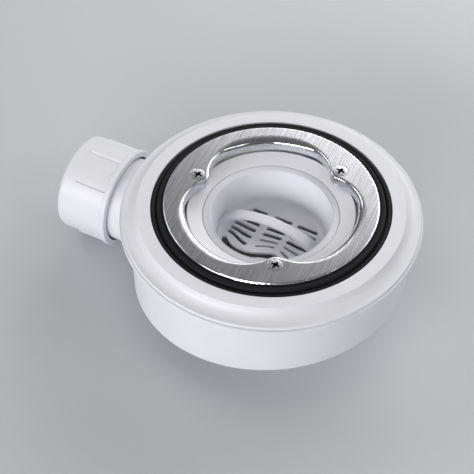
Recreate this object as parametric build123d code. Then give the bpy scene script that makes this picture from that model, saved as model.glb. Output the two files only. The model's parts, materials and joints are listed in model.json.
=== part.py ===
from build123d import *
import math
import os

os.makedirs("parts", exist_ok=True)

# Shower-tray trap. The waste axis is Z, the sump stands on z = 0 and the outlet leaves along -X.

# Heights of the stack, from the base up
bowl_height = 58.5  # base to the seam under the cover
deck_rise = 7.1  # seam to the crown of the cover
seat_depth = 3.8  # crown down to the gasket seat
lower_gasket_height = 2.4
upper_gasket_height = 2.9
ring_sheet = 0.9  # stainless sheet
moulded_edge = 0.5  # rounding of the edges of the mouldings

# Radii of the stack: the dip tube, and what stands round it from the inside out
dip_radius = 33.0  # inside
dip_wall = 2.2
seal_space = 2.1  # dip tube to the sleeve of the cover
sleeve_wall = 2.2
screw_inset = 5.1  # sleeve to the screw circle
lobe_reach = 1.6  # screw circle to the collar of the clamp ring
throat_clearance = 0.6  # collar to the throat of the cover
insert_clearance = 2.3  # throat to the insert
ring_width = 11.0
upper_gasket_step = 3.2  # stands out beyond the ring
lower_gasket_step = 3.0  # stands out beyond the upper gasket
gasket_clearance = 0.2
crown_width = 7.1
cove_width = 7.8
rim_step = 1.1  # rim of the bowl beyond the edge of the cover
rim_overhang = 5.6  # rim of the bowl beyond its wall
sump_gap = 13.0  # dip tube to the outside of the sump

# Bowl
bowl_wall = 2.4
bowl_rim_height = 2.1
bowl_floor_drop = 9.4  # outlet axis down to the underside of the sloping floor, on the waste axis
bowl_floor_fall = 4.2  # degrees, falling to the outlet
bowl_floor_thickness = 2.4
bowl_edge_radius = 1.2
sump_draft = 1.7  # the sump is this much narrower at its foot
sump_wall = 2.2
sump_floor = 2.6
sump_foot_radius = 2.5
weir_rise = 11.5  # outlet axis up to the top of the sump wall

# Outlet spigot, for a 40 mm pipe
outlet_drop = 30.0  # seam down to the outlet axis
spigot_radius = 22.8
spigot_length = 36.2  # from the wall of the bowl
spigot_stub = 6.2  # moulded on the bowl, as far as it stands under the rim
outlet_bore_radius = 19.2
pipe_radius = 20.0
pipe_clearance = 0.3
socket_depth = 25.0
mouth_chamfer = 1.7

# Cover
cover_edge = 1.7  # height of the outer edge above the seam
cover_edge_radius = 0.7
cover_wall = 2.4
cove_start = 0.9  # flat strip between the outer edge and the cove
locating_lip = 2.4
lip_clearance = 0.1
ledge_drop = 4.3  # gasket seat down to the ledge that carries the insert
sleeve_length = 10.5

# Clamp ring
collar_drop = 5.0
roll_radius = 3.2
lip_drop = 1.8
lip_edge_radius = 0.8
lobe_radius = 5.6
lobe_roll = 1.0  # the roll is tighter round the lobes
lobe_blend = 20.0  # radius between a lobe and the collar
blend_spread = 5.0  # the blend is this much wider where the roll leaves the flat
roll_start = 8.0  # slope of the roll where it leaves the flat, in degrees
roll_steps = 7

# Screws
screw_count = 3
first_screw_angle = 60.0
screw_radius = 2.0
screw_length = 18.0
screw_tip_radius = 0.4
head_radius = 3.9
head_clearance = 0.25
hole_clearance = 0.3
tip_clearance = 1.0
recess_length = 4.7
recess_width = 1.3
recess_depth = 1.2
recess_taper = 12.0
pillar_radius = 3.9
pillar_floor = 2.0
thread_clearance = 0.1
brass_wall = 0.9
brass_groove = 0.3
brass_length = 9.0

# Gaskets
ridge_width = 2.5
lower_ridge = 1.2  # crest above the flat of the gasket
upper_ridge = 0.5
ridge_radius = 1.1
ridge_inner_radius = 0.4
lip_gap = 0.2

# Insert
insert_skirt = 2.0
insert_lip_height = 4.5  # ledge to the outer lip of the funnel
funnel_drop = 2.9
funnel_thickness = 2.2
dip_gap = 9.4  # floor of the sump to the end of the dip tube
sleeve_clearance = 0.3
collar_length = 2.6  # guide collar below the ledge
pillar_clearance = 0.4
seal_gap = 0.05
ring_groove = 2.2
rib_height = 1.0

# Basket
basket_rim_height = 2.0
basket_clearance = 0.15
basket_mouth_inset = 1.95  # dip tube to the mouth of the basket
basket_taper = 3.05  # the floor is this much narrower than the mouth
basket_wall = 1.6
basket_depth = 21.1
basket_floor = 1.4
basket_corner = 3.0
basket_edge = 0.4  # chamfer of the rim
rim_groove = 0.7  # fine groove in the rim, from the mouth
rim_groove_size = 0.36
handle_drop = 4.7  # rim down to the top of the arch
handle_foot = 3.0  # foot of the arch above the floor
handle_thickness = 2.2
handle_width = 5.5
handle_end_width = 10.0
handle_waist = 12.0  # half-length of the straight part
handle_edge = 0.7  # rounding along the strap

# Slots of the strainer floor
row_count = 6
row_pitch = 4.35
front_row = -4.9
slot_width = 2.4
narrow_width = 1.4  # where the wave presses the rows together
narrow_rows = 2
narrow_columns = 2  # counted from the far end of the rows
slot_margin = 3.2
shortest_slot = 4.0
column_ends = ((-22.4, -11.4), (-5.1, 3.2), (8.3, 19.0))
wave_length = 28.0
wave_crest = 4.0
wave_height = 2.2
wave_fade = 0.5
moat_line = -12.2
moat_height = 2.9
moat_width = 5.2
moat_ends = (-22.0, 13.0)
step_rise = 0.8

# Union nut and what it holds
nut_length = 30.3
nut_radius = 26.5  # over the lands
nut_relief = 0.7  # recesses below the lands
nut_bead_rise = 0.6  # bead above the lands
nut_inner_radius = 24.0
nut_end_wall = 3.0
nut_nose_radius = 2.5
nut_nose = 8.7  # plain length before the lands
nut_bead = 3.1
recess_count = 4  # recesses between the grip lands
recess_angle = 41.0
recess_flank = 1.5  # slope of each side, in degrees round the nut
recess_turn = 112.0  # middle of the first recess, from +Y towards +Z
washer_thickness = 1.5
washer_clearance = 0.4
seal_body = 3.4
seal_offset = 0.1

# Levels that follow from the sizes above
crown_height = bowl_height + deck_rise
seat_height = crown_height - seat_depth
lower_gasket_top = seat_height + lower_gasket_height
sheet_underside = lower_gasket_top + upper_gasket_height
ring_top = sheet_underside + ring_sheet
ledge_height = seat_height - ledge_drop
sleeve_end = ledge_height - sleeve_length
outlet_height = bowl_height - outlet_drop
bowl_floor_height = outlet_height - bowl_floor_drop
weir_height = outlet_height + weir_rise
dip_end = sump_floor + dip_gap
rim_seat = ledge_height + insert_lip_height - funnel_drop - basket_rim_height
basket_top = rim_seat + basket_rim_height
floor_top = basket_top - basket_depth

# Radii that follow, from the dip tube outwards
dip_outer = dip_radius + dip_wall
sleeve_radius = dip_outer + seal_space
screw_circle = sleeve_radius + screw_inset
collar_radius = screw_circle + lobe_reach  # inside; the collar passes a 90 mm tray hole
flat_radius = collar_radius + roll_radius
throat_radius = collar_radius + ring_sheet + throat_clearance
insert_radius = throat_radius - insert_clearance
ring_radius = collar_radius + ring_width
upper_gasket_radius = ring_radius + upper_gasket_step
lower_gasket_radius = upper_gasket_radius + lower_gasket_step
gasket_inner_radius = throat_radius + gasket_clearance
seat_radius = lower_gasket_radius + gasket_clearance
crown_radius = seat_radius + crown_width
cover_radius = crown_radius + cove_width
bowl_rim_radius = cover_radius + rim_step
bowl_radius = bowl_rim_radius - rim_overhang
bowl_inner_radius = bowl_radius - bowl_wall
sump_radius = dip_outer + sump_gap
basket_mouth_radius = dip_radius - basket_mouth_inset
basket_floor_radius = basket_mouth_radius - basket_taper
rim_radius = dip_outer - seal_gap
basket_rim_radius = rim_radius - basket_clearance

# Distances along the outlet, from the waste axis
spigot_start = bowl_radius + spigot_stub
spigot_end = bowl_radius + spigot_length
socket_radius = pipe_radius + pipe_clearance
nut_hole_radius = socket_radius + pipe_clearance
seal_start = spigot_end + seal_offset
washer_start = seal_start + seal_body
nut_inner_face = washer_start + washer_thickness
nut_end = nut_inner_face + nut_end_wall
outlet_axis = Axis((0, 0, outlet_height), (-1, 0, 0))
outlet_plane = Plane(origin=(0, 0, outlet_height), x_dir=(-1, 0, 0), z_dir=(0, 1, 0))
screw_places = PolarLocations(screw_circle, screw_count, first_screw_angle)


def section(*corners):
    """Closed outline; a corner with a third value is rounded by it."""
    face = make_face(Polyline(*[corner[:2] for corner in corners], close=True))
    for corner in corners:
        if len(corner) == 3:
            place = Vector(corner[0], corner[1])
            vertex = min(face.vertices(), key=lambda v: (Vector(*v) - place).length)
            face = fillet(vertex, corner[2])
    return face


def turned(*corners):
    """Solid turned about the waste axis from an outline in radius and height."""
    return revolve(Plane.XZ * section(*corners), Axis.Z)


def outlet_turned(*corners):
    """Solid turned about the outlet axis from an outline in distance and radius."""
    return revolve(outlet_plane * section(*corners), outlet_axis)


def upright(radius, bottom, top):
    return Pos(0, 0, bottom) * extrude(Circle(radius), top - bottom)


def raised(face, bottom, top):
    return Pos(0, 0, bottom) * extrude(face, top - bottom)


def spread(start, end, count):
    return [start + (end - start) * i / (count - 1) for i in range(count)]


def save(shape, name):
    shape.label = name
    export_step(shape, f"parts/{name}.step")


def make_lower_body():
    """Bowl with its spigot, before the sump is set into its floor."""
    fall = math.radians(bowl_floor_fall)
    normal = (-math.sin(fall), 0, math.cos(fall))
    underside = Plane(origin=(0, 0, bowl_floor_height), z_dir=normal)
    inside = underside.offset(bowl_floor_thickness)
    shell = split(upright(bowl_radius, 0, bowl_height), bisect_by=underside, keep=Keep.TOP)
    shell = fillet(shell.faces().sort_by(Axis.Z)[0].edges(), bowl_edge_radius)
    rim_bottom = bowl_height - bowl_rim_height
    shell += turned(
        (bowl_inner_radius, rim_bottom),
        (bowl_rim_radius, rim_bottom, moulded_edge),
        (bowl_rim_radius, bowl_height, moulded_edge),
        (bowl_inner_radius, bowl_height),
    )
    # The spigot runs in under the floor as far as the sump, before the inside is hollowed
    root = sump_radius - sump_wall
    shell += outlet_turned(
        (root, 0), (spigot_end, 0), (spigot_end, spigot_radius, moulded_edge), (root, spigot_radius)
    )
    shell -= split(upright(bowl_inner_radius, 0, bowl_height), bisect_by=inside, keep=Keep.TOP)
    shell -= turned((0, 0), (sump_radius - sump_draft, 0), (sump_radius, weir_height), (0, weir_height))
    channel = sump_radius + sump_wall
    socket_end = spigot_end - socket_depth
    return shell - outlet_turned(
        (channel, 0),
        (spigot_end, 0),
        (spigot_end, socket_radius + mouth_chamfer),
        (spigot_end - mouth_chamfer, socket_radius),
        (socket_end, socket_radius),
        (socket_end, outlet_bore_radius),
        (channel, outlet_bore_radius),
    )


def make_sump():
    foot = sump_radius - sump_draft
    return turned(
        (0, 0),
        (foot, 0, sump_foot_radius),
        (sump_radius, weir_height, moulded_edge),
        (sump_radius - sump_wall, weir_height, moulded_edge),
        (foot - sump_wall, sump_floor, sump_foot_radius),
        (0, sump_floor),
    )


def make_cover():
    edge_top = bowl_height + cover_edge
    cove_outer = cover_radius - cove_start
    lip_outer = bowl_inner_radius - lip_clearance
    rise = crown_height - edge_top
    run = cove_outer - crown_radius
    sweep = (run**2 + rise**2) / (2 * rise)
    half = math.asin(run / sweep) / 2
    cove_middle = (cove_outer - sweep * math.sin(half), edge_top + sweep * (1 - math.cos(half)))
    sleeve_outer = sleeve_radius + sleeve_wall
    throat_outer = throat_radius + cover_wall
    seat_outer = seat_radius + cover_wall
    upper = Polyline(
        (crown_radius, crown_height),
        (seat_radius, crown_height),
        (seat_radius, seat_height),
        (throat_radius, seat_height),
        (throat_radius, ledge_height),
        (sleeve_radius, ledge_height),
        (sleeve_radius, sleeve_end),
        (sleeve_outer, sleeve_end),
        (sleeve_outer, ledge_height - cover_wall),
        (throat_outer, ledge_height - cover_wall),
        (throat_outer, seat_height - cover_wall),
        (seat_outer, seat_height - cover_wall),
        (seat_outer, bowl_height - locating_lip),
        (lip_outer, bowl_height - locating_lip),
        (lip_outer, bowl_height),
        (cover_radius, bowl_height),
        (cover_radius, edge_top),
        (cove_outer, edge_top),
    )
    cove = ThreePointArc((cove_outer, edge_top), cove_middle, (crown_radius, crown_height))
    outline = make_face(upper.edges() + [cove])
    softened = {
        (crown_radius, crown_height): moulded_edge,
        (cover_radius, edge_top): cover_edge_radius,
        (cover_radius, bowl_height): moulded_edge,
        (throat_radius, seat_height): moulded_edge,
    }
    for place, radius in softened.items():
        near = Vector(*place)
        vertex = min(outline.vertices(), key=lambda v: (Vector(*v) - near).length)
        outline = fillet(vertex, radius)
    cover = revolve(Plane.XZ * outline, Axis.Z)
    hole_bottom = ring_top - screw_length - tip_clearance
    pillar = upright(pillar_radius, hole_bottom - pillar_floor, seat_height)
    brass_radius = screw_radius + thread_clearance + brass_wall
    drilled = upright(screw_radius + hole_clearance, hole_bottom, seat_height)
    pocket = upright(brass_radius, seat_height - brass_length, seat_height)
    for place in screw_places:
        cover += place * pillar
    # The sleeve stays round behind the pillars
    cover -= upright(sleeve_radius, sleeve_end - pillar_floor, crown_height)
    for place in screw_places:
        cover -= place * (drilled + pocket)
    return cover


def opening_plan(main, tip, blend):
    """Round opening of the ring, with a lobe reaching into it at each screw."""
    # Centre of the blend: touches the lobe from outside and the round opening from inside
    away = main - blend
    between = (away**2 + screw_circle**2 - (tip + blend) ** 2) / (2 * away * screw_circle)
    turn = math.acos(between)
    on_round = Vector(math.cos(turn), math.sin(turn))
    middle = on_round * away
    to_screw = (Vector(screw_circle, 0) - middle).normalized()
    half_way = (to_screw + on_round).normalized()
    side = [on_round * main, middle + half_way * blend, middle + to_screw * blend]
    other = [Vector(v.X, -v.Y) for v in side]
    pitch = 360 / screw_count
    lobe = [
        ThreePointArc(other[0], other[1], other[2]),
        ThreePointArc(other[2], (screw_circle - tip, 0), side[2]),
        ThreePointArc(side[2], side[1], side[0]),
        ThreePointArc(side[0], Vector(main, 0).rotate(Axis.Z, pitch / 2), other[0].rotate(Axis.Z, pitch)),
    ]
    turns = PolarLocations(0, screw_count, first_screw_angle)
    return make_face([turn * edge for turn in turns for edge in lobe])


def ring_opening(inset, bottom):
    """Space inside the ring; inset gives the space inside the under surface of its sheet."""
    roll = roll_radius - inset
    lobe = lobe_roll - inset
    top = ring_top - inset
    start = math.cos(math.radians(roll_start))
    plans = []
    for slope in spread(roll_start, 90, roll_steps):
        depth = roll * (start - math.cos(math.radians(slope)))
        open_by = 1 - math.sin(math.radians(slope))
        lobe_slope = math.acos(max(0, start - depth / lobe))
        plan = opening_plan(
            collar_radius + inset + roll * open_by,
            lobe_radius - inset - lobe * (1 - math.sin(lobe_slope)),
            lobe_blend + inset + blend_spread * open_by,
        )
        plans.append(Pos(0, 0, top - depth) * plan)
    collar = extrude(plans[-1], top - depth - bottom, dir=(0, 0, -1))
    return loft(plans) + collar


def make_clamp_ring():
    collar_end = ring_top - collar_drop
    lip_end = ring_top - lip_drop
    break_radius = (flat_radius + ring_radius) / 2
    inside_corner = ring_radius - ring_sheet
    room_bottom = collar_end - ring_sheet
    pressed = turned(
        (0, collar_end),
        (break_radius, collar_end),
        (break_radius, lip_end),
        (ring_radius, lip_end),
        (ring_radius, ring_top, lip_edge_radius),
        (0, ring_top),
    )
    under = turned(
        (0, room_bottom), (inside_corner, room_bottom), (inside_corner, sheet_underside), (0, sheet_underside)
    )
    ring = pressed - ring_opening(0, room_bottom)
    ring -= under - ring_opening(ring_sheet, room_bottom - ring_sheet)
    # Dimples that take the countersunk heads
    seat_top = head_radius + head_clearance
    hole = screw_radius + hole_clearance
    dimple_end = ring_top - (seat_top - hole)
    dimple_top = ring_top - ring_sheet / 2
    slant = ring_sheet * math.sqrt(2)
    dimple = turned(
        (0, dimple_end), (hole + slant, dimple_end), (seat_top + slant / 2, dimple_top), (0, dimple_top)
    )
    sink = turned((0, dimple_end), (hole, dimple_end), (seat_top, ring_top), (0, ring_top))
    for place in screw_places:
        ring = ring + place * dimple - place * sink
    return ring


def make_screw():
    cone = head_radius - screw_radius
    tip = ring_top - screw_length
    screw = turned(
        (0, tip),
        (screw_radius, tip, screw_tip_radius),
        (screw_radius, ring_top - cone),
        (head_radius, ring_top),
        (0, ring_top),
    )
    bar = Rectangle(recess_length, recess_width)
    cross = bar + Rot(0, 0, 90) * bar
    return screw - Pos(0, 0, ring_top) * extrude(cross, -recess_depth, taper=recess_taper)


def make_brass_insert():
    bore = screw_radius + thread_clearance
    outer = bore + brass_wall
    bottom = seat_height - brass_length
    middle = seat_height - brass_length / 2
    return turned(
        (bore, bottom),
        (outer, bottom),
        (outer, middle - brass_groove),
        (outer - brass_groove, middle - brass_groove),
        (outer - brass_groove, middle + brass_groove),
        (outer, middle + brass_groove),
        (outer, seat_height),
        (bore, seat_height),
    )


def make_lower_gasket():
    crest = lower_gasket_top + lower_ridge
    inner_side = lower_gasket_radius - ridge_width
    return turned(
        (gasket_inner_radius, seat_height),
        (lower_gasket_radius, seat_height),
        (lower_gasket_radius, crest, ridge_radius),
        (inner_side, crest, ridge_radius),
        (inner_side, lower_gasket_top),
        (gasket_inner_radius, lower_gasket_top),
    )


def make_upper_gasket():
    lip_end = ring_top - lip_drop
    crest = lip_end + upper_ridge
    inner_radius = flat_radius + gasket_clearance
    inner_side = upper_gasket_radius - ridge_width
    lip_inside = ring_radius - ring_sheet - lip_gap
    return turned(
        (inner_radius, lower_gasket_top),
        (upper_gasket_radius, lower_gasket_top),
        (upper_gasket_radius, crest, ridge_radius),
        (inner_side, crest, ridge_inner_radius),
        (inner_side, lip_end),
        (lip_inside, lip_end),
        (lip_inside, sheet_underside),
        (inner_radius, sheet_underside),
    )


def make_insert():
    guide = sleeve_radius - sleeve_clearance
    lip_top = ledge_height + insert_lip_height
    skirt_inside = insert_radius - insert_skirt
    guide_end = ledge_height - collar_length
    rib_top = guide_end - ring_groove
    rib_radius = dip_outer + rib_height
    funnel_slope = funnel_drop / (insert_radius - rim_radius)
    skirt_underside = lip_top - funnel_thickness - funnel_slope * insert_skirt
    guide_underside = max(ledge_height, lip_top - funnel_thickness - funnel_drop)
    insert = turned(
        (dip_radius, dip_end),
        (dip_outer, dip_end, moulded_edge),
        (dip_outer, rib_top - rib_height),
        (rib_radius, rib_top - rib_height),
        (rib_radius, rib_top),
        (dip_outer, rib_top),
        (dip_outer, guide_end),
        (guide, guide_end),
        (guide, guide_underside),
        (skirt_inside, skirt_underside),
        (skirt_inside, ledge_height),
        (insert_radius, ledge_height),
        (insert_radius, lip_top, moulded_edge),
        (rim_radius, basket_top),
        (rim_radius, rim_seat),
        (dip_radius, rim_seat),
    )
    # Scallops round the screw pillars
    for place in screw_places:
        insert -= place * upright(pillar_radius + pillar_clearance, ledge_height, ring_top)
    return insert


def make_insert_ring():
    middle = ledge_height - collar_length - ring_groove / 2
    section_radius = (sleeve_radius - dip_outer) / 2 - seal_gap
    path_radius = (sleeve_radius + dip_outer) / 2
    return revolve(Plane.XZ * Pos(path_radius, middle) * Circle(section_radius), Axis.Z)


def wave(line, height):
    return lambda x: line + height * math.cos(2 * math.pi * (x - wave_crest) / wave_length)


def slot_face(line, start, end, width):
    """Round-ended slot along a wavy centre line."""
    half = width / 2
    stations = spread(start, end, 5)
    back = [(x, line(x) + half) for x in stations]
    front = [(x, line(x) - half) for x in reversed(stations)]
    right = ThreePointArc(back[-1], (end + half, line(end)), front[0])
    left = ThreePointArc(front[-1], (start - half, line(start)), back[0])
    return make_face([Spline(*back), right, Spline(*front), left])


def strainer_slots():
    limit = basket_floor_radius - slot_margin
    faces = [slot_face(wave(moat_line, moat_height), *moat_ends, moat_width)]
    for row in range(row_count):
        line = wave(front_row + row * row_pitch, wave_height * wave_fade**row)
        for column, (start, end) in enumerate(column_ends):
            pressed = row < narrow_rows and column >= len(column_ends) - narrow_columns
            width = narrow_width if pressed else slot_width
            kept = [x for x in spread(start, end, 41) if math.hypot(x, line(x)) <= limit]
            if kept and kept[-1] - kept[0] >= shortest_slot:
                faces.append(slot_face(line, kept[0], kept[-1], width))
    return faces


def make_basket():
    floor_bottom = floor_top - basket_floor
    groove_middle = basket_mouth_radius + rim_groove
    groove_half = rim_groove_size / 2
    basket = turned(
        (0, floor_bottom),
        (basket_floor_radius + basket_wall, floor_bottom, basket_corner),
        (basket_mouth_radius + basket_wall, rim_seat),
        (basket_rim_radius, rim_seat),
        (basket_rim_radius, basket_top - basket_edge),
        (basket_rim_radius - basket_edge, basket_top),
        (groove_middle + groove_half, basket_top),
        (groove_middle, basket_top - rim_groove_size),
        (groove_middle - groove_half, basket_top),
        (basket_mouth_radius + basket_edge, basket_top),
        (basket_mouth_radius, basket_top - basket_edge),
        (basket_floor_radius, floor_top, basket_corner),
        (0, floor_top),
    )
    overlap = basket_wall / 2
    inside = turned(
        (0, floor_top - overlap),
        (basket_floor_radius + overlap, floor_top - overlap, basket_corner),
        (basket_mouth_radius + overlap, basket_top),
        (0, basket_top),
    )
    # Raised front part of the floor, beyond the wide slot
    edge = wave(moat_line - moat_width / 2, moat_height)
    ends = basket_mouth_radius
    stations = spread(-ends, ends, 13)
    border = Spline(*[(x, edge(x)) for x in stations])
    sides = Polyline((ends, edge(ends)), (ends, -2 * ends), (-ends, -2 * ends), (-ends, edge(-ends)))
    step = raised(make_face(border.edges() + sides.edges()), floor_top - overlap, floor_top + step_rise)
    # Arched handle, wider at its feet
    reach = basket_mouth_radius
    foot = floor_top + handle_foot
    top = basket_top - handle_drop
    arch = make_face(
        [
            ThreePointArc((-reach, foot), (0, top), (reach, foot)),
            Line((reach, foot), (reach, foot - handle_thickness)),
            ThreePointArc(
                (reach, foot - handle_thickness), (0, top - handle_thickness), (-reach, foot - handle_thickness)
            ),
            Line((-reach, foot - handle_thickness), (-reach, foot)),
        ]
    )
    strap = extrude(Plane.XZ * arch, handle_end_width, both=True)
    half_end = handle_end_width / 2
    half_waist = handle_width / 2
    plan = section(
        (-reach, half_end),
        (-handle_waist, half_waist, handle_waist),
        (handle_waist, half_waist, handle_waist),
        (reach, half_end),
        (reach, -half_end),
        (handle_waist, -half_waist, handle_waist),
        (-handle_waist, -half_waist, handle_waist),
        (-reach, -half_end),
    )
    strap = strap & raised(plan, floor_bottom, basket_top)
    strap = fillet([edge for edge in strap.edges() if edge.length > handle_waist], handle_edge)
    basket = basket + (step & inside) + (strap & inside)
    for face in strainer_slots():
        basket -= raised(face, floor_bottom, floor_top)
    return basket


def make_nut():
    skirt_end = nut_end - nut_length
    grip_start = skirt_end + nut_bead
    grip_end = nut_end - nut_nose
    relief = nut_radius - nut_relief
    clear = nut_radius + nut_relief
    bead_radius = nut_radius + nut_bead_rise
    nose = outlet_turned(
        (grip_end, nut_inner_radius),
        (grip_end, relief),
        (nut_end, relief, nut_nose_radius),
        (nut_end, nut_hole_radius, moulded_edge),
        (nut_inner_face, nut_hole_radius),
        (nut_inner_face, nut_inner_radius),
    )
    bead = outlet_turned(
        (skirt_end, nut_inner_radius),
        (skirt_end, bead_radius, moulded_edge),
        (grip_start, bead_radius, moulded_edge),
        (grip_start, nut_inner_radius),
    )
    grip = Circle(nut_radius) - Circle(nut_inner_radius)
    for i in range(recess_count):
        middle = 180 - recess_turn + 360 / recess_count * i
        low = [Vector(relief, 0).rotate(Axis.Z, middle + side * recess_angle / 2) for side in (-1, 0, 1)]
        # The flanks lean outwards, on beyond the lands
        wide = recess_angle / 2 + 2 * recess_flank
        high = [Vector(clear, 0).rotate(Axis.Z, middle + side * wide) for side in (-1, 0, 1)]
        grip -= make_face(
            [ThreePointArc(*low), ThreePointArc(*high), Line(low[0], high[0]), Line(low[2], high[2])]
        )
    grip_plane = Plane(origin=(-grip_start, 0, outlet_height), x_dir=(0, -1, 0), z_dir=(-1, 0, 0))
    return nose + extrude(grip_plane * grip, grip_end - grip_start) + bead


def make_washer():
    return outlet_turned(
        (washer_start, nut_hole_radius),
        (nut_inner_face, nut_hole_radius),
        (nut_inner_face, nut_inner_radius - washer_clearance),
        (washer_start, nut_inner_radius - washer_clearance),
    )


def make_pipe_seal():
    """Ring with a cone that enters the chamfered mouth of the spigot."""
    cone_end = seal_start - mouth_chamfer
    outer = socket_radius + mouth_chamfer
    return outlet_turned(
        (cone_end, socket_radius), (washer_start, socket_radius), (washer_start, outer), (seal_start, outer)
    )


# The lower body is one moulding, kept as its bowl, its sump and its spigot
lower_body = make_lower_body()
spigot_joint = Plane(origin=(-spigot_start, 0, outlet_height), z_dir=(-1, 0, 0))
save(split(lower_body, bisect_by=spigot_joint, keep=Keep.BOTTOM), "trap_bowl")
save(split(lower_body, bisect_by=spigot_joint, keep=Keep.TOP), "outlet_spigot")
save(make_sump(), "trap_sump")
save(make_cover(), "body_cover")
save(make_lower_gasket(), "lower_gasket")
save(make_upper_gasket(), "upper_gasket")
save(make_clamp_ring(), "clamp_ring")
save(Compound(children=[place * make_screw() for place in screw_places]), "clamp_screws")
save(Compound(children=[place * make_brass_insert() for place in screw_places]), "screw_inserts")
save(make_insert(), "trap_insert")
save(make_insert_ring(), "insert_o_ring")
save(make_basket(), "strainer_basket")
save(make_nut(), "coupling_nut")
save(make_washer(), "thrust_washer")
save(make_pipe_seal(), "pipe_seal")
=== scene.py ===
import json
import math

import bmesh
import bpy
import numpy as np
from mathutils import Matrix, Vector


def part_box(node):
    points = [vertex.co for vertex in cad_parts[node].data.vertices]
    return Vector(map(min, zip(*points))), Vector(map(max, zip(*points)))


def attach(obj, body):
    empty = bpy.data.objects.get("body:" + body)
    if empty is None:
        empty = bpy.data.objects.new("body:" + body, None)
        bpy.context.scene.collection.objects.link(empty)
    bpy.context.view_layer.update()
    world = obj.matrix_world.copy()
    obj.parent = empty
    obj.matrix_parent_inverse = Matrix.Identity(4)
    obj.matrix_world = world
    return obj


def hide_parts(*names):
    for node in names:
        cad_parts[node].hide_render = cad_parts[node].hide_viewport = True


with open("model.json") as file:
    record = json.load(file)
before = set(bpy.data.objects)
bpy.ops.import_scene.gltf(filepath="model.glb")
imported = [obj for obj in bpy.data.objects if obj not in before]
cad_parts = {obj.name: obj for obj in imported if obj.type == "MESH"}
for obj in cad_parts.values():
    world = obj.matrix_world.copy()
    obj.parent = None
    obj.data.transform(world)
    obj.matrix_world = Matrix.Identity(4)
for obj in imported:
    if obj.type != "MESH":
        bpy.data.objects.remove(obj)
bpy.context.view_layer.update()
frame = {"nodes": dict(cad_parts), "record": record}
nodes = frame["nodes"]
slotOf = {part["node"]: part["material_slot"] for part in frame["record"]["subparts"]}
mm = 0.001
print("frame: %d nodes" % len(nodes))


def toLinear(hexText):
    # sRGB hex to the linear colour that a shader socket takes
    values = np.array([int(hexText[i:i + 2], 16) for i in (0, 2, 4)]) / 255.0
    linear = np.where(values <= 0.04045, values / 12.92, ((values + 0.055) / 1.055) ** 2.4)
    return (*linear.tolist(), 1.0)


def addNode(tree, kind, inputs=None, **settings):
    # One node with its settings; an input given as a socket is linked, any other value is set.
    # In a Mix node of colours, input 0 is the share, 6 and 7 are the colours, output 2 the result.
    node = tree.nodes.new(kind)
    for name, value in settings.items():
        setattr(node, name, value)
    for name, value in (inputs or {}).items():
        if isinstance(value, bpy.types.NodeSocket):
            tree.links.new(value, node.inputs[name])
        else:
            node.inputs[name].default_value = value
    return node


def newMaterial(name):
    made = bpy.data.materials.new(name)
    made.use_nodes = True
    made.node_tree.nodes.clear()
    tree = made.node_tree
    place = addNode(tree, "ShaderNodeTexCoord").outputs["Object"]
    return made, tree, place


def endMaterial(tree, inputs):
    shader = addNode(tree, "ShaderNodeBsdfPrincipled", inputs)
    addNode(tree, "ShaderNodeOutputMaterial", {"Surface": shader.outputs["BSDF"]})


noiseSpan = {"From Min": 0.3, "From Max": 0.7}  # where most of a noise texture lies
sumSpan = {"From Min": 0.7, "From Max": 1.3}  # where most of the sum of two lies

# Polypropylene, injection moulded: a cool white with a soft sheen and a faint grain from the
# spark-eroded mould. The real grain is near 0.1 mm, so it is drawn at 0.4 mm to show at all.
plastic = {
    "white": "e6e6eb", "shade": "dddde2",
    "patch": 26 * mm, "grain": 0.4 * mm, "grainHeight": 0.012 * mm, "grainStrength": 0.35,
    "roughness": (0.36, 0.46), "ior": 1.49,
}


def mouldedPolypropylene():
    made, tree, place = newMaterial("polypropylene_moulded_white")
    smooth, rough = plastic["roughness"]
    patch = addNode(tree, "ShaderNodeTexNoise", {
        "Vector": place, "Scale": 1 / plastic["patch"], "Detail": 2.0})
    grain = addNode(tree, "ShaderNodeTexNoise", {
        "Vector": place, "Scale": 1 / plastic["grain"], "Detail": 1.0})
    colour = addNode(tree, "ShaderNodeMix", {
        0: patch.outputs["Fac"], 6: toLinear(plastic["white"]), 7: toLinear(plastic["shade"])},
        data_type="RGBA")
    sheen = addNode(tree, "ShaderNodeMapRange", {
        "Value": patch.outputs["Fac"], **noiseSpan, "To Min": smooth, "To Max": rough})
    bump = addNode(tree, "ShaderNodeBump", {
        "Height": grain.outputs["Fac"], "Strength": plastic["grainStrength"],
        "Distance": plastic["grainHeight"]})
    endMaterial(tree, {
        "Base Color": colour.outputs[2], "Roughness": sheen.outputs["Result"],
        "Normal": bump.outputs["Normal"], "IOR": plastic["ior"]})
    return made


# EPDM rubber, compression moulded: near black with a satin skin and a pale dusty bloom in patches.
rubber = {
    "black": "18181a", "bloom": "222225",
    "patch": 9 * mm, "grain": 0.5 * mm, "grainHeight": 0.03 * mm, "grainStrength": 0.4,
    "roughness": (0.60, 0.74), "ior": 1.50, "specular": 0.15,
}


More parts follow.
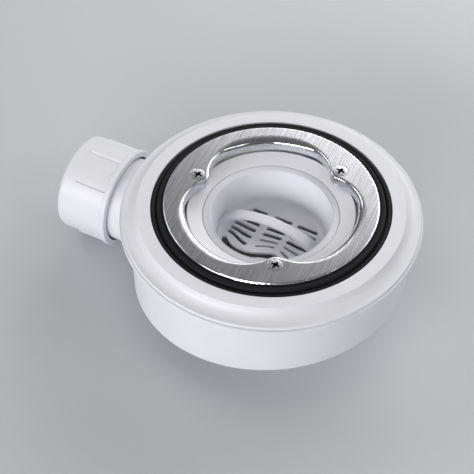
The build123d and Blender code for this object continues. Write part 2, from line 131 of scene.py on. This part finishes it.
def mouldedRubber():
    made, tree, place = newMaterial("epdm_rubber_moulded_black")
    smooth, rough = rubber["roughness"]
    patch = addNode(tree, "ShaderNodeTexNoise", {
        "Vector": place, "Scale": 1 / rubber["patch"], "Detail": 4.0})
    grain = addNode(tree, "ShaderNodeTexNoise", {
        "Vector": place, "Scale": 1 / rubber["grain"], "Detail": 2.0})
    colour = addNode(tree, "ShaderNodeMix", {
        0: patch.outputs["Fac"], 6: toLinear(rubber["black"]), 7: toLinear(rubber["bloom"])},
        data_type="RGBA")
    satin = addNode(tree, "ShaderNodeMapRange", {
        "Value": patch.outputs["Fac"], **noiseSpan, "To Min": smooth, "To Max": rough})
    bump = addNode(tree, "ShaderNodeBump", {
        "Height": grain.outputs["Fac"], "Strength": rubber["grainStrength"],
        "Distance": rubber["grainHeight"]})
    endMaterial(tree, {
        "Base Color": colour.outputs[2], "Roughness": satin.outputs["Result"],
        "Normal": bump.outputs["Normal"], "IOR": rubber["ior"],
        "Specular IOR Level": rubber["specular"]})
    return made


# Stainless steel sheet, belt brushed in one direction before pressing: straight streaks of lighter
# and darker grey, some of them duller. Belt scratches are about 0.05 mm wide, drawn here at 0.4 mm
# and 1.1 mm so that they show. The press polishes the roll, below the flat.
steel = {
    "bright": "efeff4", "dull": "bebec3",
    "streakWidth": 0.4 * mm, "bandWidth": 1.1 * mm, "streakLength": 22 * mm,
    "brushAngle": math.radians(96), "bandHeight": 0.0008 * mm,
    "roughness": (0.215, 0.24),
    "flat": 67.9 * mm, "rolled": 67.4 * mm, "rolledShare": 0.5,  # heights, and roughness left there
}


def brushedSteel():
    made, tree, place = newMaterial("stainless_steel_brushed")
    smooth, rough = steel["roughness"]
    along = 1 / steel["streakLength"]
    fineAcross, wideAcross = 1 / steel["streakWidth"], 1 / steel["bandWidth"]
    turned = addNode(tree, "ShaderNodeMapping", {
        "Vector": place, "Rotation": (0, 0, -steel["brushAngle"])})
    fine = addNode(tree, "ShaderNodeMapping", {
        "Vector": turned.outputs["Vector"], "Scale": (along, fineAcross, fineAcross)})
    wide = addNode(tree, "ShaderNodeMapping", {
        "Vector": turned.outputs["Vector"], "Scale": (along, wideAcross, wideAcross)})
    streak = addNode(tree, "ShaderNodeTexNoise", {
        "Vector": fine.outputs["Vector"], "Scale": 1.0, "Detail": 2.0})
    band = addNode(tree, "ShaderNodeTexNoise", {
        "Vector": wide.outputs["Vector"], "Scale": 1.0, "Detail": 3.0})
    both = addNode(tree, "ShaderNodeMath", {
        0: streak.outputs["Fac"], 1: band.outputs["Fac"]}, operation="ADD")
    level = addNode(tree, "ShaderNodeMapRange", {"Value": both.outputs["Value"], **sumSpan})
    colour = addNode(tree, "ShaderNodeMix", {
        0: level.outputs["Result"], 6: toLinear(steel["dull"]), 7: toLinear(steel["bright"])},
        data_type="RGBA")
    gloss = addNode(tree, "ShaderNodeMapRange", {
        "Value": both.outputs["Value"], **sumSpan, "To Min": rough, "To Max": smooth})
    height = addNode(tree, "ShaderNodeSeparateXYZ", {"Vector": place}).outputs["Z"]
    pressed = addNode(tree, "ShaderNodeMapRange", {
        "Value": height, "From Min": steel["rolled"], "From Max": steel["flat"],
        "To Min": steel["rolledShare"], "To Max": 1.0})
    polish = addNode(tree, "ShaderNodeMath", {
        0: gloss.outputs["Result"], 1: pressed.outputs["Result"]}, operation="MULTIPLY")
    bump = addNode(tree, "ShaderNodeBump", {
        "Height": band.outputs["Fac"], "Distance": steel["bandHeight"]})
    endMaterial(tree, {
        "Base Color": colour.outputs[2], "Metallic": 1.0, "Roughness": polish.outputs["Value"],
        "Normal": bump.outputs["Normal"]})
    return made


# Stainless steel, cold headed: bright, with the faint mottle of a tumbled screw; the cross recess
# has
#  painted shade, a dark colour mixed in between a top height and an end height.
screwSteel = {
    "bright": "e1e1e6", "dull": "c7c7cc", "recessShade": "26262a",
    "mottle": 0.8 * mm, "roughness": (0.22, 0.32),
    "recessShadeTop": 67.75 * mm, "recessShadeFull": 67.2 * mm, "recessShadeEnd": 66.2 * mm,
}


def headedSteel():
    made, tree, place = newMaterial("stainless_steel_cold_headed")
    smooth, rough = screwSteel["roughness"]
    mottle = addNode(tree, "ShaderNodeTexNoise", {
        "Vector": place, "Scale": 1 / screwSteel["mottle"], "Detail": 3.0})
    colour = addNode(tree, "ShaderNodeMix", {
        0: mottle.outputs["Fac"], 6: toLinear(screwSteel["bright"]),
        7: toLinear(screwSteel["dull"])}, data_type="RGBA")
    gloss = addNode(tree, "ShaderNodeMapRange", {
        "Value": mottle.outputs["Fac"], **noiseSpan, "To Min": smooth, "To Max": rough})
    height = addNode(tree, "ShaderNodeSeparateXYZ", {"Vector": place}).outputs["Z"]
    # painted shade: how much of the dark recess colour each depth gets, growing from the top height
    # to full, and none below the end height
    depth = addNode(tree, "ShaderNodeMapRange", {
        "Value": height, "From Min": screwSteel["recessShadeTop"], "From Max": screwSteel["recessShadeFull"]})
    above = addNode(tree, "ShaderNodeMath", {
        0: height, 1: screwSteel["recessShadeEnd"]}, operation="GREATER_THAN")
    share = addNode(tree, "ShaderNodeMath", {
        0: depth.outputs["Result"], 1: above.outputs["Value"]}, operation="MULTIPLY")
    # painted shade: the dark colour mixed into the recess, standing in for the shade inside it
    recessShaded = addNode(tree, "ShaderNodeMix", {
        0: share.outputs["Value"], 6: colour.outputs[2], 7: toLinear(screwSteel["recessShade"])},
        data_type="RGBA")
    endMaterial(tree, {
        "Base Color": recessShaded.outputs[2], "Metallic": 1.0, "Roughness": gloss.outputs["Result"]})
    return made


# Brass, turned from bar: warm yellow with close tool rings along its axis.
brass = {
    "yellow": "c9a55a", "worn": "b08d48", "roughness": 0.3,
    "ring": 0.3 * mm, "wavePeriod": 0.314, "waver": 0.4,  # a wave at scale 1 repeats after 0.314
}


def turnedBrass():
    made, tree, place = newMaterial("brass_turned")
    rings = addNode(tree, "ShaderNodeTexWave", {
        "Vector": place, "Scale": brass["wavePeriod"] / brass["ring"],
        "Distortion": brass["waver"]}, bands_direction="Z")
    colour = addNode(tree, "ShaderNodeMix", {
        0: rings.outputs["Fac"], 6: toLinear(brass["yellow"]), 7: toLinear(brass["worn"])},
        data_type="RGBA")
    endMaterial(tree, {
        "Base Color": colour.outputs[2], "Metallic": 1.0, "Roughness": brass["roughness"]})
    return made


finishes = {
    "white_polypropylene": mouldedPolypropylene(),
    "black_rubber": mouldedRubber(),
    "brushed_stainless": brushedSteel(),
    "screw_stainless": headedSteel(),
    "insert_brass": turnedBrass(),
}
for name, shown in nodes.items():
    for used in shown.material_slots:
        used.material = finishes[slotOf[name]]
print("materials: %d" % len(finishes))

screwCircle = {"radius": 42.4, "angles": (60, 180, 300)}  # mm and degrees, for ring and screws

# Clamp ring: the solid ring with the soft bend that pressing leaves in the sheet before the roll.
# Lengths in mm; each edge is an outline of the opening, given by the radii of its round part,
# of the lobe round a screw and of the blend between them.
ring = {
    "rollEdge": (46.75, 4.6, 24.3), "bendEdge": (48.8, 4.3, 28.0),
    "slope": math.radians(8),  # at the edge of the roll
    "skin": (0.25, 0.85),  # the sheet moves fully to the first depth, not at all below the next
    "cell": 0.8, "passes": 5,  # longest edge on the flat, and how often longer ones are halved
    "weld": 0.001, "level": 0.01,  # points this close are one, heights this close are the flat
    "sharp": math.radians(30),
}


def openingRadius(angle, edge):
    # Polar radius of an outline: near side of the lobe circle, then far side of the blend circle,
    # then the round part
    main, lobe, blend = edge
    circle, away = screwCircle["radius"], main - blend
    apart = np.subtract.outer(np.radians(screwCircle["angles"]), angle)
    off = np.min(np.abs((apart + np.pi) % (2 * np.pi) - np.pi), axis=0)
    turn = math.acos((away ** 2 + circle ** 2 - (lobe + blend) ** 2) / (2 * away * circle))
    middle = away * np.array([math.cos(turn), math.sin(turn)])
    touch = middle + (np.array([circle, 0]) - middle) * blend / (lobe + blend)
    lobeRoot = np.sqrt(np.maximum(lobe ** 2 - (circle * np.sin(off)) ** 2, 0))
    blendRoot = np.sqrt(np.maximum(blend ** 2 - (away * np.sin(off - turn)) ** 2, 0))
    onLobe = circle * np.cos(off) - lobeRoot
    onBlend = away * np.cos(off - turn) + blendRoot
    lobeEnd = math.atan2(touch[1], touch[0])
    return np.where(off < lobeEnd, onLobe, np.where(off < turn, onBlend, main))


def makeRing():
    mesh = nodes["clamp_ring"].data.copy()
    mesh.name = "bent_clamp_ring"
    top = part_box("clamp_ring")[1][2]
    normals = mesh.attributes.get("custom_normal")  # the flat's own shading, wrong after the bend
    if normals:
        mesh.attributes.remove(normals)
    work = bmesh.new()
    work.from_mesh(mesh)
    bmesh.ops.remove_doubles(work, verts=work.verts, dist=ring["weld"] * mm)
    for step in range(ring["passes"]):
        wide = [edge for edge in work.edges if edge.calc_length() > ring["cell"] * mm
                and min(end.co.z for end in edge.verts) > top - ring["level"] * mm]
        bmesh.ops.subdivide_edges(work, edges=wide, cuts=1)
        bmesh.ops.triangulate(work, faces=work.faces)
    bmesh.ops.dissolve_degenerate(work, dist=ring["weld"] * mm, edges=work.edges)
    bmesh.ops.triangulate(work, faces=work.faces)
    work.to_mesh(mesh)
    work.free()
    mesh.validate()
    # Bend, in the upper skin of the sheet: drop = slope * width / 2 * share ^ 2,
    # where share is how far a point is from the edge of the bend to the edge of the roll
    spots = np.empty(len(mesh.vertices) * 3, dtype=np.float32)
    mesh.vertices.foreach_get("co", spots)
    spots = spots.reshape(-1, 3)
    radius = np.hypot(spots[:, 0], spots[:, 1]) / mm
    angle = np.arctan2(spots[:, 1], spots[:, 0])
    inner, outer = openingRadius(angle, ring["rollEdge"]), openingRadius(angle, ring["bendEdge"])
    share = np.clip((outer - radius) / (outer - inner), 0, 1)
    skinFull, skinEnd = ring["skin"]
    skin = np.clip((skinEnd - (top - spots[:, 2]) / mm) / (skinEnd - skinFull), 0, 1)
    spots[:, 2] -= math.tan(ring["slope"]) * (outer - inner) / 2 * share ** 2 * skin * mm
    mesh.vertices.foreach_set("co", spots.ravel())
    mesh.shade_smooth()
    mesh.set_sharp_from_angle(angle=ring["sharp"])
    made = bpy.data.objects.new("bent_clamp_ring", mesh)
    bpy.context.scene.collection.objects.link(made)
    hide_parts("clamp_ring")
    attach(made, "root")
    print("clamp ring: %d faces" % len(mesh.polygons))


makeRing()

# Screws: flat countersunk heads with a slightly crowned top and a cross recess, on a rolled thread.
# Lengths in mm from the top of the head.
screw = {
    "turns": (-10, -10, -6),  # angles of the crosses, in degrees
    "columns": 120, "headRows": 52, "threadRows": 112, "sharp": math.radians(35),
    "headRadius": 3.85, "crown": 0.15, "chamfer": 0.05, "pole": 0.03,  # pole: caps on the axis
    "reach": 2.45, "depth": 1.7, "fall": 0.35,  # recess: half length, depth, rise of floor per mm
    "wing": 0.58, "hub": 0.5, "hubReach": 0.8,  # half width of a wing, and how it widens inwards
    "wall": 0.14, "end": 0.3,  # how far the walls of the recess lean
    "cone": (2.0, 2.05),  # radius and depth where the cone of the head ends
    "pitch": 0.7, "threadDepth": 0.34, "threadEnd": 17.3,
    "length": 18.0, "tip": (1.5, 1.1, 0.4),  # of the tip: radii at both ends, length
}


def makeScrews():
    # Rows run from the middle of the head to the tip, columns round the axis
    turn = np.linspace(0, 2 * np.pi, screw["columns"], endpoint=False)
    radius = np.linspace(screw["pole"], screw["headRadius"], screw["headRows"])[:, None]
    # Cross recess: a is the way off the nearest wing, b the way along it;
    # depth = (depth - fall b) * ramp(off the side wall) * ramp(off the end wall)
    across, along = np.abs(radius * np.cos(turn)), np.abs(radius * np.sin(turn))
    a, b = np.minimum(across, along), np.maximum(across, along)
    half = screw["wing"] + screw["hub"] * np.exp(-(b / screw["hubReach"]) ** 2)
    sideRamp = np.clip((half - a) / screw["wall"], 0, 1)
    endRamp = np.clip((screw["reach"] - b) / screw["end"], 0, 1)
    crown = screw["crown"] * (radius / screw["headRadius"]) ** 2
    headZ = -crown - (screw["depth"] - screw["fall"] * b) * (sideRamp * endRamp)
    headR = np.broadcast_to(radius, headZ.shape)
    # Thread: r = r0 - d |2 frac(turn / 2 pi + z / pitch) - 1|
    coneR, coneZ = screw["cone"]
    shankZ = np.linspace(coneZ, screw["threadEnd"], screw["threadRows"])[:, None]
    phase = np.modf(turn / (2 * np.pi) + shankZ / screw["pitch"])[0]
    shankR = coneR - screw["threadDepth"] * np.abs(2 * phase - 1)
    shankZ = np.broadcast_to(-shankZ, shankR.shape)
    # Edge of the head with the end of its cone, and the tip: rows of radius and height
    edge = np.array([[screw["headRadius"] - screw["chamfer"], -2 * screw["crown"]],
                     [coneR, -coneZ + screw["chamfer"]]])
    tipStart, tipEnd, tipLength = screw["tip"]
    tip = np.array([[tipStart, -screw["length"] + tipLength], [tipEnd, -screw["length"]],
                    [screw["pole"], -screw["length"]]])
    ones = np.ones((1, screw["columns"]))
    r = np.vstack([headR, edge[:, :1] * ones, shankR, tip[:, :1] * ones])
    z = np.vstack([headZ, edge[:, 1:] * ones, shankZ, tip[:, 1:] * ones])
    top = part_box("clamp_screws")[1][2]
    points, faces = [], []
    rows, columns = r.shape
    here = np.arange(rows * columns).reshape(rows, columns)
    beside = np.roll(here, -1, axis=1)
    quads = np.stack([here[:-1], here[1:], beside[1:], beside[:-1]], axis=-1).reshape(-1, 4)
    for number, (place, cross) in enumerate(zip(screwCircle["angles"], screw["turns"])):
        swing, place = turn + math.radians(cross), math.radians(place)
        x = screwCircle["radius"] * math.cos(place) + r * np.cos(swing)
        y = screwCircle["radius"] * math.sin(place) + r * np.sin(swing)
        points.append(np.stack([x * mm, y * mm, top + z * mm], axis=-1).reshape(-1, 3))
        start = number * rows * columns
        caps = [(here[0] + start).tolist(), (here[-1, ::-1] + start).tolist()]
        faces += (quads + start).tolist() + caps
    mesh = bpy.data.meshes.new("cross_recess_screws")
    mesh.from_pydata(np.vstack(points).tolist(), [], faces)
    mesh.shade_smooth()
    mesh.set_sharp_from_angle(angle=screw["sharp"])
    mesh.materials.append(finishes["screw_stainless"])
    made = bpy.data.objects.new("cross_recess_screws", mesh)
    bpy.context.scene.collection.objects.link(made)
    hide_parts("clamp_screws")
    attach(made, "root")
    print("screws: %d faces" % len(faces))


makeScrews()

# Floor: a plain pale sheet with a dull lacquer and large faint clouds of a second grey, in metres
floor = {
    "size": 6.0, "colour": "c6c8cb", "cloud": "c0c2c6", "cloudSize": 0.9,
    "roughness": 0.5, "specular": 0.2,
}


def makeFloor():
    half = floor["size"] / 2
    corners = np.array([[-half, -half, 0], [half, -half, 0], [half, half, 0], [-half, half, 0]])
    mesh = bpy.data.meshes.new("floor")
    mesh.from_pydata(corners.tolist(), [], [(0, 1, 2, 3)])
    made, tree, place = newMaterial("floor_pale_lacquer")
    cloud = addNode(tree, "ShaderNodeTexNoise", {
        "Vector": place, "Scale": 1 / floor["cloudSize"], "Detail": 1.0})
    colour = addNode(tree, "ShaderNodeMix", {
        0: cloud.outputs["Fac"], 6: toLinear(floor["colour"]), 7: toLinear(floor["cloud"])},
        data_type="RGBA")
    endMaterial(tree, {
        "Base Color": colour.outputs[2], "Roughness": floor["roughness"],
        "Specular IOR Level": floor["specular"]})
    mesh.materials.append(made)
    sheet = bpy.data.objects.new("floor", mesh)
    bpy.context.scene.collection.objects.link(sheet)


makeFloor()

# Studio, in metres and watts: a wide soft box behind, whose upper edge the brushed ring mirrors,
# a smaller one in it that lights the handle and the funnel, one low in front for the walls,
# one high on each side, and a faint room that is a little lighter overhead
studio = {
    "aim": (0, 0, 0.06),
    "lamps": {
        "back": {"at": (0.20, 0.94, 0.60), "size": (2.06, 0.8), "power": 7.8},
        "key": {"at": (0.09, 0.98, 0.53), "size": (1.0, 0.35), "power": 4.2},
        "front": {"at": (-0.18, -1.57, 0.63), "size": (1.8, 0.42), "power": 25.0},
        "left": {"at": (-0.80, 0.13, 0.84), "size": (0.7, 0.35), "power": 2.0},
        "right": {"at": (0.81, -0.07, 0.84), "size": (0.7, 0.35), "power": 1.6},
    },
    "room": {"low": 0.12, "high": 0.14, "lowEdge": 0.25, "highEdge": 0.65},
}


def makeStudio():
    for name, lamp in studio["lamps"].items():
        light = bpy.data.lights.new(name, "AREA")
        light.shape = "RECTANGLE"
        light.size, light.size_y = lamp["size"]
        light.energy = lamp["power"]
        held = bpy.data.objects.new(name, light)
        held.location = lamp["at"]
        aim = Vector(studio["aim"]) - Vector(lamp["at"])
        held.rotation_euler = aim.to_track_quat("-Z", "Y").to_euler()
        bpy.context.scene.collection.objects.link(held)
    room = studio["room"]
    world = bpy.data.worlds.new("room")
    bpy.context.scene.world = world
    world.use_nodes = True
    tree = world.node_tree
    tree.nodes.clear()
    look = addNode(tree, "ShaderNodeTexCoord").outputs["Generated"]
    height = addNode(tree, "ShaderNodeSeparateXYZ", {"Vector": look}).outputs["Z"]
    grey = addNode(tree, "ShaderNodeMapRange", {
        "Value": height, "From Min": room["lowEdge"], "From Max": room["highEdge"],
        "To Min": room["low"], "To Max": room["high"]}, interpolation_type="SMOOTHSTEP")
    glow = addNode(tree, "ShaderNodeBackground", {"Color": grey.outputs["Result"]})
    addNode(tree, "ShaderNodeOutputWorld", {"Surface": glow.outputs["Background"]})


makeStudio()

# Camera: a long lens from the front right, as the trap was photographed; metres, lens in mm
camera = {
    "at": (0.2496, -0.5028, 0.6505), "look": (-0.3200, 0.5975, -0.7353),
    "lens": 121.52, "sensor": 36.0, "clip": (0.01, 20),
}


def makeCamera():
    lens = bpy.data.cameras.new("camera")
    lens.lens = camera["lens"]
    lens.sensor_width = camera["sensor"]
    lens.clip_start, lens.clip_end = camera["clip"]
    held = bpy.data.objects.new("camera", lens)
    held.location = camera["at"]
    held.rotation_euler = Vector(camera["look"]).to_track_quat("-Z", "Y").to_euler()
    bpy.context.scene.collection.objects.link(held)
    bpy.context.scene.camera = held


makeCamera()
bpy.context.scene.view_settings.view_transform = "Standard"
print("studio: %d lamps" % len(studio["lamps"]))
